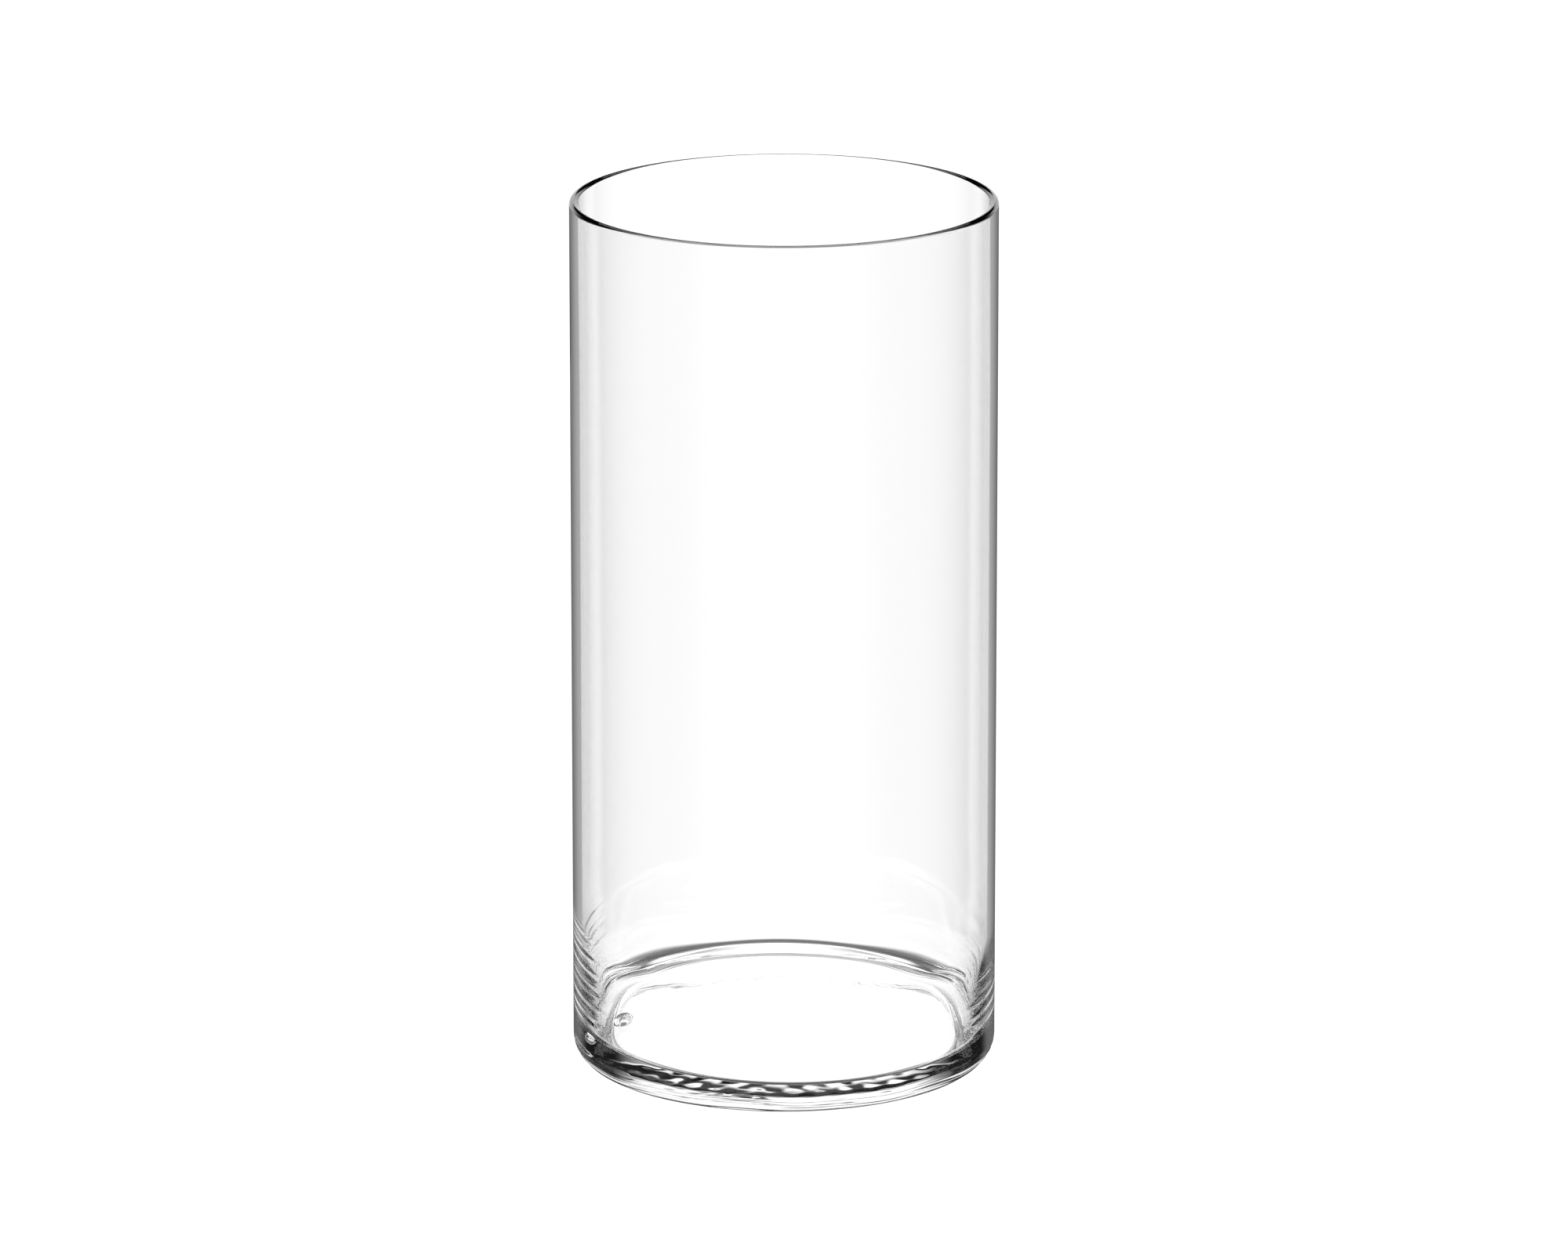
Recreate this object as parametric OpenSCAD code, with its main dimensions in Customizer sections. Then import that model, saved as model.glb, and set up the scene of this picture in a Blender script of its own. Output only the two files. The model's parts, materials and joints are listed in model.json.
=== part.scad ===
// Glass cylinder vase: one blown piece of clear glass with a thin straight wall that thickens
// towards a heavy base, a fire-polished lip, rounded corners, and a hollow pushed up into
// the underside, so that it stands on a narrow flat ring.

/* [Overall] */
// Outside diameter of the cylinder
outer_d = 120; // [110:1:200]
// Overall height from the standing ring to the lip
height = 250; // [120:1:400]

/* [Wall] */
// Thickness of the straight wall
wall = 2.4; // [1.8:0.1:4]
// Height above the table at which the wall starts to thicken downwards
flare_top = 40; // [30:1:60]
// How much thicker the wall has become where it meets the inner corner
flare_in = 1.5; // [0.5:0.1:3]

/* [Base] */
// Height of the inner floor above the table
floor_t = 12.8; // [9:0.1:18]
// Radius of the curve from the inner wall down to the inner floor
inner_corner_r = 3.5; // [1.5:0.5:8]
// Radius of the outside bottom corner
heel_r = 7.5; // [3:0.5:8]

/* [Underside] */
// Width of the flat standing ring, between the outside corner and the hollow
ring_w = 1; // [1:0.5:12]
// Depth of the hollow inside that ring
hollow_depth = 4.4; // [1:0.1:5]
// Width of the S-shaped slope round the edge of the hollow
hollow_edge_w = 12; // [10:1:24]

/* [Hidden] */
$fn = 128;

outer_r = outer_d / 2;
bore_r = outer_r - wall;
lip_r = wall / 2;
hollow_r = outer_r - heel_r - ring_w;
// Radius and height at which the thickened wall turns into the inner corner
low_r = bore_r - flare_in;
corner_z = floor_t + inner_corner_r;
// How far a cutting shape runs past the glass, so that no two faces coincide
over = 1;

// Radius of each of the two equal arcs that make an S-curve, from half its length and half its shift
function s_radius(half_length, half_shift) =
    (half_length * half_length + half_shift * half_shift) / (2 * half_shift);

// The waste outside a rounded corner. The corner is at the origin and the glass lies towards -X, +Y.
module corner_waste(r) {
    difference() {
        translate([-r, -over]) square([r + over, r + over]);
        translate([-r, r]) circle(r);
    }
}

// Half section of the space where the wall thickens, from the straight bore down to the inner corner
module flare_section() {
    half_length = (flare_top - corner_z) / 2;
    half_shift = flare_in / 2;
    arc_r = s_radius(half_length, half_shift);
    middle_z = corner_z + half_length;
    intersection() {
        translate([bore_r - arc_r, flare_top]) circle(arc_r);
        translate([0, middle_z]) square([bore_r, half_length]);
    }
    difference() {
        translate([0, corner_z]) square([low_r + half_shift, half_length]);
        translate([low_r + arc_r, corner_z]) circle(arc_r);
    }
}

// Half section of the space inside: the straight bore, the flare, the curved corner and the floor
module cavity_section() {
    translate([0, flare_top]) square([bore_r, height]);
    flare_section();
    translate([0, floor_t]) square([low_r - inner_corner_r, inner_corner_r]);
    intersection() {
        translate([low_r - inner_corner_r, corner_z]) circle(inner_corner_r);
        translate([low_r - inner_corner_r, floor_t]) square([inner_corner_r, inner_corner_r]);
    }
}

// Half section of the hollow under the base
module hollow_section() {
    half_length = hollow_edge_w / 2;
    half_shift = hollow_depth / 2;
    arc_r = s_radius(half_length, half_shift);
    roof_r = hollow_r - hollow_edge_w;
    translate([0, -over]) square([roof_r, hollow_depth + over]);
    translate([0, -over]) square([roof_r + half_length, half_shift + over]);
    intersection() {
        translate([roof_r, hollow_depth - arc_r]) circle(arc_r);
        translate([roof_r, half_shift]) square([half_length, half_shift]);
    }
    difference() {
        translate([roof_r + half_length, -over]) square([half_length, half_shift + over]);
        translate([hollow_r, arc_r]) circle(arc_r);
    }
}

// Half section of the glass
module glass_section() {
    difference() {
        square([outer_r, height]);
        cavity_section();
        hollow_section();
        translate([outer_r, 0]) corner_waste(heel_r);
        translate([outer_r, height]) mirror([0, 1]) corner_waste(lip_r);
        translate([bore_r, height]) rotate(180) corner_waste(lip_r);
    }
}

module glass_vase() {
    color([0.93, 0.96, 0.96, 0.35])
        rotate_extrude()
            glass_section();
}

glass_vase();
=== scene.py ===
"""The look of the glass cylinder vase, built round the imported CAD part."""
import json
import math

import bmesh
import bpy
import numpy as np
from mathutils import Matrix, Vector


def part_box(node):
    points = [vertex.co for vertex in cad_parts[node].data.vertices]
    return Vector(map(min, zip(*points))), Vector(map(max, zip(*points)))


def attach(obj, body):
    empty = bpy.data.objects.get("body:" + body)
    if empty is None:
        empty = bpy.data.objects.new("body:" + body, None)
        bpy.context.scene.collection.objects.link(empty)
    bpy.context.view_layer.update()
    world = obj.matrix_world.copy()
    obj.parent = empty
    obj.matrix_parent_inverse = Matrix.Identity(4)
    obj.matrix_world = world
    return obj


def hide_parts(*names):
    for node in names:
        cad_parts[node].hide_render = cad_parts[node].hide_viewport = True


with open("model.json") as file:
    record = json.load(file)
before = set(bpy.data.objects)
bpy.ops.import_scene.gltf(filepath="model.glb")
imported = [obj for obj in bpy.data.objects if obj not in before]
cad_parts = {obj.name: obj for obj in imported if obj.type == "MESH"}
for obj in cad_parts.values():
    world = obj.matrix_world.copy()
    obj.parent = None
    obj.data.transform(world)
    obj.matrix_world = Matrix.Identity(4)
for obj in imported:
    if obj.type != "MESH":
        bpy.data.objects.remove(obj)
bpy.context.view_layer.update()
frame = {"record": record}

MM = 0.001
BODY = "root"
NODE = "glass_vase"

# ---------------------------------------------------------------- sizes, all in metres
# Azimuths are in degrees from the front (-Y), and positive towards +X. A span of four values says
# where something starts, where it is full, where it starts to leave, and where it has gone.
low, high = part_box(NODE)
mouth = next(m for m in frame["record"]["mounts"] if m["name"] == "mouth")
OUTER_R = (high.x - low.x) / 2
HEIGHT = high.z
BORE_R = mouth["dims"]["r_mm"] * MM
FLARE_TOP = mouth["pos_m"][2] - mouth["dims"]["length_mm"] * MM / 2
LIP_R = (OUTER_R - BORE_R) / 2
HEEL_R = 7.5 * MM
FLARE_IN = 1.5 * MM
FLOOR_T = 12.8 * MM
CORNER_R = 2.0 * MM
HOLLOW_R = 52.0 * MM
HOLLOW_DEPTH = 4.4 * MM
HOLLOW_EDGE_W = 3.0 * MM

# The blown glass settled unevenly. The base is higher at the back, and a little at the left. The
# inner wall follows it, and between these two heights that dies out.
TILT = 4.5 * MM
LEAN = 0.8 * MM
SETTLE_Z = (15 * MM, 80 * MM)

# The inner corner is wider from the sides towards the back, and the outside corner is tighter
# at the back
SIDE_CORNER_R = 4.0 * MM
SIDE_CORNER_SPAN = (80, 110, 130, 165)
BACK_HEEL_CUT = 6.0 * MM
BACK_HEEL_FADE = (130, 160)

# The wall is thicker at the left than at the right. This dies out towards the lip.
WALL_SHIFT = 0.15 * MM
WALL_SHIFT_Z = (HEIGHT - 70 * MM, HEIGHT - 5 * MM)

# Rings pressed into the thickened wall at the sides, up to a greater height at the left
RING_PITCH, RING_DEPTH = 3.3 * MM, 0.08 * MM
RING_SPAN = (56, 84, 102, 118)
RING_FOOT = (9 * MM, 13 * MM)
RING_TOP_L, RING_TOP_R = 46 * MM, 32 * MM
RING_FADE = 10 * MM
FINE_RING_SHARE, FINE_RING_TURNS = 0.6, 1.7

# Shallow dimples in the roof of the hollow, and how far across their rows wander
BLOB_W, BLOB_L, BLOB_DEPTH = 7.5 * MM, 10 * MM, 0.022 * MM
WANDER_Y, WANDER_X = 9 * MM, 13 * MM

# Streaks round the outside corner
HEEL_DEPTH, HEEL_PITCH = 0.12 * MM, 1.9 * MM

# A small bubble in the base, at the left
BUBBLE_AT = (-46.5 * MM, -9.0 * MM, 9.3 * MM)
BUBBLE_R = (2.8 * MM, 4.0 * MM, 2.0 * MM)

# How finely the surfaces are cut up
SEGMENTS = 384
ROOF_ROWS, EDGE_ROWS, HEEL_ROWS, OUTSIDE_ROWS, LIP_ROWS = 18, 16, 40, 8, 14
BORE_ROWS, FLARE_ROWS, CORNER_ROWS, FLOOR_ROWS = 19, 90, 18, 21
BUBBLE_ROWS, BUBBLE_TURNS = 16, 24
# The bore's rows end this far above the flare's top
FLARE_MARGIN = 8 * MM
# A row this close to a bend keeps the bend's smooth shading off the straight wall
GUARD = 0.3 * MM
# Points closer than this are one point, such as those at the bubble's ends
MERGE = 0.0001 * MM

IOR = 1.52

# ---------------------------------------------------------------- light and camera
# Strengths of the surroundings, some of which paint the vase's shadow on the table
WHITE, DARK, TABLE, CEILING, PAINTED_SHADOW_UNDER, PAINTED_SHADOW_LINE = 1.15, 0.01, 1.3, 1.1, 0.08, 0.1
SHADOW_BEHIND_LOW, SHADOW_BEHIND_HIGH = 0.12, 0.58
# Where they change. Azimuths are in degrees either way from the back (+Y), and a height is the Z of
# the direction, from -1 straight down to 1 straight up.
BACKDROP_AZIMUTH = (28, 44)
SHADOW_BEHIND_AZIMUTH = (2, 46)
BESIDE_AZIMUTH = (40, 50, 110, 175)
BESIDE_Z = (-0.70, -0.62, -0.12, -0.05)
GAP_Z = (0.22, 0.27, 0.51, 0.54)
CEILING_Z = (0.55, 0.7)
STEEP_Z = (-0.45, -0.35)
HORIZON_Z = (-0.19, -0.16)
DOWN_Z = (-0.68, -0.52)
# A ray has gone deep when it has passed through more surfaces than this
DEEP = 2.5
BOUNCES = 32

STAGE_HALF = 6.0
STAGE_DROP = 0.05 * MM

CAMERA_ELEVATION = 15.05
CAMERA_DISTANCE = 47.3 * OUTER_R
CAMERA_AIM = (0, 0, HEIGHT / 2 + 1.3 * MM)
SENSOR_W, LENS = 36, 230.9


# ---------------------------------------------------------------- half section at every azimuth
AZIMUTH = np.linspace(-180, 180, SEGMENTS, endpoint=False)
SIN, COS = np.sin(np.radians(AZIMUTH)), np.cos(np.radians(AZIMUTH))


def smooth(value, start, end):
    """0 before start, 1 after end, and a smooth change between them."""
    t = np.clip((value - start) / (end - start), 0, 1)
    return t * t * (3 - 2 * t)


def window(value, start, full, leave, end):
    """0 up to start, 1 from full to leave, 0 again from end on."""
    return smooth(value, start, full) * (1 - smooth(value, leave, end))


def s_curve(t):
    """A cosine step from 0 to 1, at t from 0 to 1 along it."""
    return (1 - math.cos(math.pi * t)) / 2


def after(start, end, count):
    """Even steps from start, which is left out, to end."""
    return np.linspace(start, end, count + 1)[1:]


def stretch(start, end, count):
    """Even steps from start, which is left out, to end, with a guard row close to each end."""
    guard = GUARD * np.sign(end - start)
    return [start + guard, *after(start, end, count)[:-1], end - guard, end]


def lean(x, y):
    """How far the base is above its mean height."""
    return (TILT * y - LEAN * x) / OUTER_R


def settle(r, z):
    """z, moved with the leaning base."""
    return z + lean(r * SIN, -r * COS) * (1 - smooth(z, *SETTLE_Z))


def wall_r(z):
    """Radius of the inner wall above the base."""
    return BORE_R + WALL_SHIFT * SIN * (1 - smooth(z, *WALL_SHIFT_Z))


def flare_wave(z):
    """How far the rings move the inner wall outwards."""
    side = window(np.abs(AZIMUTH), *RING_SPAN)
    top = np.where(AZIMUTH < 0, RING_TOP_L, RING_TOP_R)
    height = window(z, *RING_FOOT, top - RING_FADE, top)
    turn = 2 * math.pi * z / RING_PITCH
    coarse = np.sin(turn + 1.5 * SIN + 2.2 * COS)
    fine = np.sin(FINE_RING_TURNS * turn + 3 * COS)
    return RING_DEPTH * side * height * (coarse + FINE_RING_SHARE * fine)


def roof_z(r, edge):
    """Height of the hollow's surface; edge is 1 under the roof and 0 at the standing ring."""
    x, y = r * SIN, -r * COS
    across = np.sin(2 * math.pi * x / BLOB_W + 1.1 * np.sin(y / WANDER_Y))
    along = np.sin(2 * math.pi * y / BLOB_L + 1.7 * np.sin(x / WANDER_X))
    return edge * (HOLLOW_DEPTH + lean(x, y) + BLOB_DEPTH * across * along)


def heel_wave(t):
    """How far the streaks move the outside corner, always inwards; t is the angle up from the ring."""
    a = np.radians(AZIMUTH)
    turn = 2 * math.pi * HEEL_R * t / HEEL_PITCH + 1.6 * np.sin(5 * a) + 0.9 * np.sin(13 * a + 1)
    return -HEEL_DEPTH * math.sin(2 * t) * (1 + np.sin(turn)) / 2


def outside(add):
    """Rows from the axis under the base, over the standing ring and up the outside to the lip."""
    heel_r = HEEL_R - BACK_HEEL_CUT * smooth(np.abs(AZIMUTH), *BACK_HEEL_FADE)
    foot_r = OUTER_R - heel_r
    roof_r = HOLLOW_R - HOLLOW_EDGE_W
    for t in after(0, 1, ROOF_ROWS):
        add(roof_r * t, roof_z(roof_r * t, 1))
    for t in after(0, 1, EDGE_ROWS):
        r = roof_r + HOLLOW_EDGE_W * t
        add(r, roof_z(r, 1 - s_curve(t)))
    add((HOLLOW_R + foot_r) / 2, 0)
    for t in np.linspace(0, math.pi / 2, HEEL_ROWS):
        reach = heel_r + heel_wave(t)
        add(foot_r + reach * math.sin(t), heel_r - reach * math.cos(t))
    for z in stretch(heel_r, HEIGHT - LIP_R, OUTSIDE_ROWS):
        add(OUTER_R, z)
    for t in after(0, math.pi, LIP_ROWS):
        add(OUTER_R - LIP_R + LIP_R * math.cos(t), HEIGHT - LIP_R + LIP_R * math.sin(t))


def inside(add):
    """Rows from the lip down the bore, the flare and the inner corner to the axis on the floor."""
    corner_r = CORNER_R + SIDE_CORNER_R * window(np.abs(AZIMUTH), *SIDE_CORNER_SPAN)
    corner_z = FLOOR_T + corner_r
    start = FLARE_TOP + FLARE_MARGIN
    for z in stretch(HEIGHT - LIP_R, start, BORE_ROWS):
        add(wall_r(z), settle(wall_r(z), z))
    for t in after(0, 1, FLARE_ROWS):
        z = start + (corner_z - start) * t
        u = np.clip((FLARE_TOP - z) / (FLARE_TOP - corner_z), 0, 1)
        r = wall_r(z) - FLARE_IN * (1 - np.cos(math.pi * u)) / 2 + flare_wave(z)
        add(r, settle(r, z))
    low_r = wall_r(0) - FLARE_IN
    base_wave = flare_wave(corner_z)
    for t in after(0, math.pi / 2, CORNER_ROWS):
        r = low_r - corner_r * (1 - math.cos(t)) + base_wave * (1 - t * 2 / math.pi)
        z = corner_z - corner_r * math.sin(t)
        add(r, settle(r, z))
    for t in after(1, 0, FLOOR_ROWS)[:-1]:
        r = (low_r - corner_r) * t
        add(r, settle(r, FLOOR_T))


def shaped():
    """The glass as an array of rows x segments x 3, from the axis underneath to the axis inside."""
    rows = []

    def add(r, z):
        rows.append(np.stack([r * SIN, -r * COS, z + 0 * SIN], 1))

    outside(add)
    inside(add)
    return np.array(rows)


# ---------------------------------------------------------------- mesh and material
def grid_faces(rows, turns):
    """Faces between rows of points that each go once round."""
    faces = []
    for i in range(rows - 1):
        for j in range(turns):
            k = (j + 1) % turns
            faces.append((i * turns + j, i * turns + k, (i + 1) * turns + k, (i + 1) * turns + j))
    return faces


def bubble():
    """Points and faces of the bubble, with its faces turned towards its middle."""
    verts = []
    for i in range(BUBBLE_ROWS + 1):
        polar = math.pi * i / BUBBLE_ROWS
        for j in range(BUBBLE_TURNS):
            a = 2 * math.pi * j / BUBBLE_TURNS
            unit = (math.sin(polar) * math.cos(a), math.sin(polar) * math.sin(a), math.cos(polar))
            verts.append(tuple(c + r * u for c, r, u in zip(BUBBLE_AT, BUBBLE_R, unit)))
    return verts, grid_faces(BUBBLE_ROWS + 1, BUBBLE_TURNS)


def lathe(name, rows, under_z, floor_z):
    """A closed mesh from rows round Z and a point on the axis at each end, with the bubble in it."""
    n = len(rows)
    verts = [tuple(c) for c in rows.reshape(-1, 3)] + [(0, 0, under_z), (0, 0, floor_z)]
    faces = grid_faces(n, SEGMENTS)
    for j in range(SEGMENTS):
        k = (j + 1) % SEGMENTS
        faces.append((n * SEGMENTS, k, j))
        faces.append((n * SEGMENTS + 1, (n - 1) * SEGMENTS + j, (n - 1) * SEGMENTS + k))
    bubble_verts, bubble_faces = bubble()
    faces += [tuple(len(verts) + v for v in face) for face in bubble_faces]
    verts += bubble_verts
    mesh = bpy.data.meshes.new(name)
    mesh.from_pydata(verts, [], faces)
    mesh.validate()
    merge = bmesh.new()
    merge.from_mesh(mesh)
    bmesh.ops.remove_doubles(merge, verts=merge.verts, dist=MERGE)
    merge.to_mesh(mesh)
    merge.free()
    mesh.shade_smooth()
    obj = bpy.data.objects.new(name, mesh)
    bpy.context.scene.collection.objects.link(obj)
    return obj


def glass_material():
    mat = bpy.data.materials.new("clear_glass")
    mat.use_nodes = True
    shader = mat.node_tree.nodes["Principled BSDF"]
    shader.inputs["Base Color"].default_value = (1, 1, 1, 1)
    shader.inputs["Roughness"].default_value = 0
    shader.inputs["IOR"].default_value = IOR
    shader.inputs["Transmission Weight"].default_value = 1
    return mat


# ---------------------------------------------------------------- stage and light
def connect(tree, sockets, values):
    """Give each socket its value, which is a number or another node's output."""
    for socket, value in zip(sockets, values):
        if isinstance(value, (int, float)):
            socket.default_value = value
        else:
            tree.links.new(value, socket)


def math_node(tree, operation, *values):
    node = tree.nodes.new("ShaderNodeMath")
    node.operation = operation
    connect(tree, node.inputs, values)
    return node.outputs[0]


def ramp(tree, value, start, end, low_value=0.0, high_value=1.0):
    """low_value before start, high_value after end, and a smooth change between them."""
    node = tree.nodes.new("ShaderNodeMapRange")
    node.interpolation_type = "SMOOTHSTEP"
    sockets = [node.inputs[name] for name in ("Value", "From Min", "From Max", "To Min", "To Max")]
    connect(tree, sockets, (value, start, end, low_value, high_value))
    return node.outputs[0]


def turned(tree, azimuth, start, end, low_value=0.0, high_value=1.0):
    """A ramp over azimuths in degrees."""
    return ramp(tree, azimuth, math.radians(start), math.radians(end), low_value, high_value)


def band(tree, value, start, full, leave, end):
    """0 up to start, 1 from full to leave, 0 again from end on."""
    return math_node(tree, "MULTIPLY", ramp(tree, value, start, full), ramp(tree, value, leave, end, 1, 0))


def mix(tree, factor, a, b):
    node = tree.nodes.new("ShaderNodeMix")
    node.data_type = "FLOAT"
    node.clamp_factor = True
    connect(tree, (node.inputs[0], node.inputs[2], node.inputs[3]), (factor, a, b))
    return node.outputs[0]


def world_light():
    """Pale surroundings, with darker parts for rays that were reflected or went deep into the glass."""
    world = bpy.data.worlds.new("studio")
    bpy.context.scene.world = world
    world.use_nodes = True
    tree = world.node_tree
    direction = tree.nodes.new("ShaderNodeTexCoord").outputs["Generated"]
    split = tree.nodes.new("ShaderNodeSeparateXYZ")
    tree.links.new(direction, split.inputs[0])
    x, y, z = split.outputs
    azimuth = math_node(tree, "ABSOLUTE", math_node(tree, "ARCTAN2", x, y))
    path = tree.nodes.new("ShaderNodeLightPath")
    deep = math_node(tree, "GREATER_THAN", path.outputs["Transmission Depth"], DEEP)

    # What a reflected ray meets above the horizon: a white backdrop ahead, a dark gap and a ceiling
    ahead = turned(tree, azimuth, *BACKDROP_AZIMUTH, 1, 0)
    backdrop = mix(tree, band(tree, z, *GAP_Z), mix(tree, ahead, DARK, WHITE), DARK)
    upper = mix(tree, ramp(tree, z, *CEILING_Z), backdrop, CEILING)

    # And below it: a table that is grey ahead and paler away from the middle, painted shadow of the vase
    # behind it, but dark from the sides round to the front, and dark grey underneath, painted shadow under
    # it
    side = turned(tree, azimuth, *SHADOW_BEHIND_AZIMUTH, SHADOW_BEHIND_LOW, SHADOW_BEHIND_HIGH)
    lower = mix(tree, ramp(tree, z, *STEEP_Z), PAINTED_SHADOW_UNDER, mix(tree, ahead, DARK, side))
    near = mix(tree, ramp(tree, z, *HORIZON_Z), lower, upper)

    # A reflected ray that went deep meets a bright table, with a dark patch at each side
    beside = band(tree, azimuth, *(math.radians(a) for a in BESIDE_AZIMUTH))
    base = mix(tree, math_node(tree, "MULTIPLY", beside, band(tree, z, *BESIDE_Z)), TABLE, DARK)

    # A ray that was never reflected meets white, unless it went deep and then steeply down, where it
    # meets a painted shadow of the vase on the table under it
    down_into_painted_shadow = math_node(tree, "MULTIPLY", deep, ramp(tree, z, *DOWN_Z, 1, 0))
    clear = mix(tree, down_into_painted_shadow, WHITE, PAINTED_SHADOW_LINE)
    strength = mix(tree, path.outputs["Glossy Depth"], clear, mix(tree, deep, near, base))
    tree.links.new(strength, tree.nodes["Background"].inputs["Strength"])
    tree.nodes["Background"].inputs["Color"].default_value = (1, 1, 1, 1)


def floor():
    """A white floor that only the camera sees, so that it neither shades the glass nor shows in it."""
    mesh = bpy.data.meshes.new("floor")
    s = STAGE_HALF
    mesh.from_pydata([(-s, -s, 0), (s, -s, 0), (s, s, 0), (-s, s, 0)], [], [(0, 1, 2, 3)])
    obj = bpy.data.objects.new("floor", mesh)
    obj.location.z = -STAGE_DROP
    bpy.context.scene.collection.objects.link(obj)
    mat = bpy.data.materials.new("floor")
    mat.use_nodes = True
    tree = mat.node_tree
    tree.nodes.remove(tree.nodes["Principled BSDF"])
    glow = tree.nodes.new("ShaderNodeEmission")
    glow.inputs["Strength"].default_value = WHITE
    tree.links.new(glow.outputs[0], tree.nodes["Material Output"].inputs["Surface"])
    mesh.materials.append(mat)
    obj.visible_glossy = obj.visible_transmission = obj.visible_diffuse = obj.visible_shadow = False


def camera():
    data = bpy.data.cameras.new("camera")
    cam = bpy.data.objects.new("camera", data)
    bpy.context.scene.collection.objects.link(cam)
    elevation = math.radians(CAMERA_ELEVATION)
    aim = Vector(CAMERA_AIM)
    cam.location = aim + CAMERA_DISTANCE * Vector((0, -math.cos(elevation), math.sin(elevation)))
    cam.rotation_euler = (aim - cam.location).to_track_quat("-Z", "Y").to_euler()
    data.sensor_width = SENSOR_W
    data.lens = LENS
    bpy.context.scene.camera = cam


vase = lathe("vase_glass", shaped(), HOLLOW_DEPTH, FLOOR_T)
vase.data.materials.append(glass_material())
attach(vase, BODY)
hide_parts(NODE)

world_light()
floor()
camera()

scene = bpy.context.scene
scene.view_settings.view_transform = "Standard"
scene.cycles.max_bounces = BOUNCES
scene.cycles.transmission_bounces = BOUNCES
scene.cycles.glossy_bounces = BOUNCES
scene.cycles.transparent_max_bounces = BOUNCES
